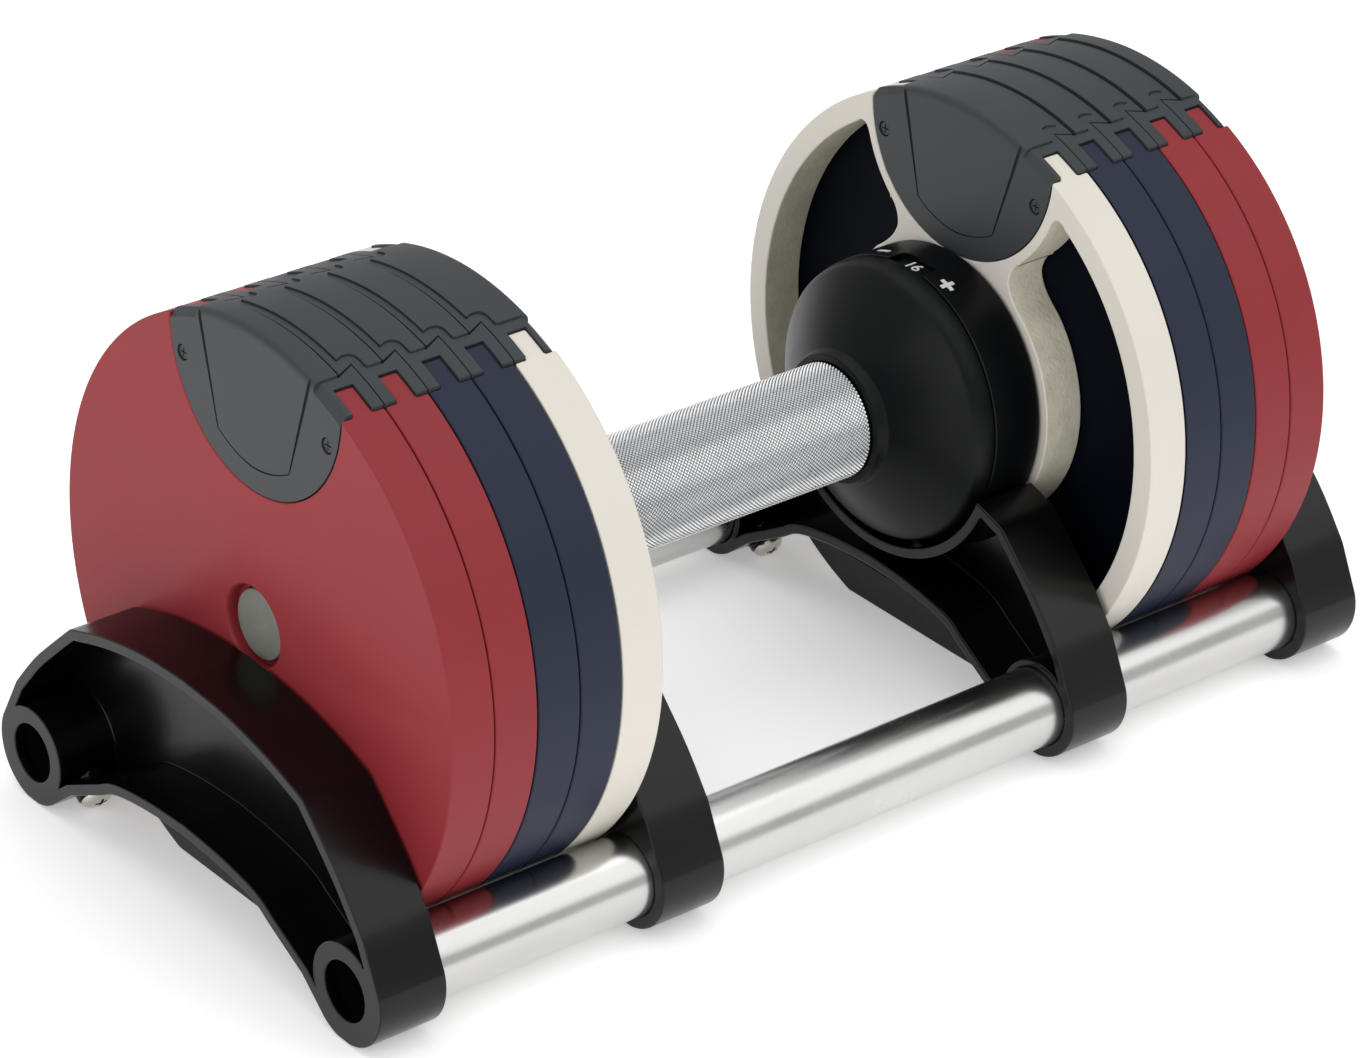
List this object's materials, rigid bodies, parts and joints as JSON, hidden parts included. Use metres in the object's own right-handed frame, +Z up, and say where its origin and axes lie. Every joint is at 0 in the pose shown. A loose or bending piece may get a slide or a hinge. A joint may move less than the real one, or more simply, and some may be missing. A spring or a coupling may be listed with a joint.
{
  "type": "adjustable dumbbell with cradle",
  "caption": "Adjustable dumbbell resting on its two-tube cradle: turning the knurled handle slides an axle through the stacked plates on each side.",
  "frame": {"origin": "middle of the cradle, on the floor under the middle of the grip", "axes": "+X along the handle, +Y across the cradle towards the rear tube, +Z up"},
  "size_m": [0.3548, 0.173, 0.167],
  "materials": {
    "red": "satin paint",
    "navy": "satin paint",
    "white": "satin paint, cast texture on the opening walls",
    "insert_plastic": "fine grain",
    "bracket_gloss": "moulded, glossy",
    "hub_plastic": "satin",
    "chrome": "polished",
    "knurled_steel": "diamond knurl",
    "bare_steel": "machined",
    "grey_disc": "matt"
  },
  "bodies": {
    "cradle": {"tube_front": "chrome", "tube_rear": "chrome", "outer_bracket_right": "bracket_gloss", "outer_bracket_left": "bracket_gloss", "inner_bracket_right": "bracket_gloss", "inner_bracket_left": "bracket_gloss", "outer_cradle_screw_front_right": "bare_steel", "outer_cradle_screw_front_left": "bare_steel", "outer_cradle_screw_rear_right": "bare_steel", "outer_cradle_screw_rear_left": "bare_steel", "inner_cradle_screw_front_right": "bare_steel", "inner_cradle_screw_front_left": "bare_steel", "inner_cradle_screw_rear_right": "bare_steel", "inner_cradle_screw_rear_left": "bare_steel"},
    "outer_plates": {"plate_5_right": "red", "plate_5_left": "red", "insert_5_right": "insert_plastic", "insert_5_left": "insert_plastic", "end_plug_right": "grey_disc", "end_plug_left": "grey_disc", "outer_insert_screw_front_right": "insert_plastic", "outer_insert_screw_front_left": "insert_plastic", "outer_insert_screw_rear_right": "insert_plastic", "outer_insert_screw_rear_left": "insert_plastic"},
    "fourth_plates": {"plate_4_right": "red", "plate_4_left": "red", "insert_4_right": "insert_plastic", "insert_4_left": "insert_plastic"},
    "dumbbell": {"core_tube": "bare_steel", "plate_1_right": "white", "plate_1_left": "white", "plate_2_right": "navy", "plate_2_left": "navy", "plate_3_right": "navy", "plate_3_left": "navy", "insert_1_right": "insert_plastic", "insert_1_left": "insert_plastic", "insert_2_right": "insert_plastic", "insert_2_left": "insert_plastic", "insert_3_right": "insert_plastic", "insert_3_left": "insert_plastic", "inner_insert_screw_front_right": "insert_plastic", "inner_insert_screw_front_left": "insert_plastic", "inner_insert_screw_rear_right": "insert_plastic", "inner_insert_screw_rear_left": "insert_plastic", "hub_housing_right": "hub_plastic", "hub_housing_left": "hub_plastic", "lock_spring_right": "bare_steel", "lock_spring_left": "bare_steel"},
    "grip": {"grip_sleeve": "knurled_steel", "drive_sleeve": "bare_steel", "dial_right": "hub_plastic", "dial_left": "hub_plastic"},
    "right_axle_set": {"axle_right": "bare_steel", "follower_pin_right": "bare_steel"},
    "left_axle_set": {"axle_left": "bare_steel", "follower_pin_left": "bare_steel"},
    "right_lock": {"lock_pin_right": "bare_steel"},
    "left_lock": {"lock_pin_left": "bare_steel"}
  },
  "joints": [
    {"name": "lift_with_five_plates", "type": "slide", "parent": "cradle", "child": "outer_plates", "axis": [0, 0, 1], "range_m": [0, 0.2]},
    {"name": "lift_with_four_plates", "type": "slide", "parent": "outer_plates", "child": "fourth_plates", "axis": [0, 0, 1], "range_m": [0, 0.2]},
    {"name": "lift_with_three_plates", "type": "slide", "parent": "fourth_plates", "child": "dumbbell", "axis": [0, 0, 1], "range_m": [0, 0.2]},
    {"name": "grip_turn", "type": "hinge", "parent": "dumbbell", "child": "grip", "pos_m": [0, 0, 0.0809], "axis": [1, 0, 0], "range_deg": [-180, 120]},
    {"name": "right_axle_slide", "type": "slide", "parent": "dumbbell", "child": "right_axle_set", "axis": [1, 0, 0], "range_m": [-0.0412, 0.0275]},
    {"name": "left_axle_slide", "type": "slide", "parent": "dumbbell", "child": "left_axle_set", "axis": [-1, 0, 0], "range_m": [-0.0412, 0.0275]},
    {"name": "right_lock_drop", "type": "slide", "parent": "dumbbell", "child": "right_lock", "axis": [0, 0, -1], "range_m": [0, 0.0027], "deforming": ["lock_spring_right"]},
    {"name": "left_lock_drop", "type": "slide", "parent": "dumbbell", "child": "left_lock", "axis": [0, 0, -1], "range_m": [0, 0.0027], "deforming": ["lock_spring_left"]}
  ],
  "couplings": [
    {"joint": "right_axle_slide", "follows": "grip_turn", "m_per_rad": 0.013083},
    {"joint": "left_axle_slide", "follows": "grip_turn", "m_per_rad": 0.013083},
    {"joint": "right_lock_drop", "follows": "lift_with_three_plates", "ratio": 0.013},
    {"joint": "left_lock_drop", "follows": "lift_with_three_plates", "ratio": 0.013}
  ]
}
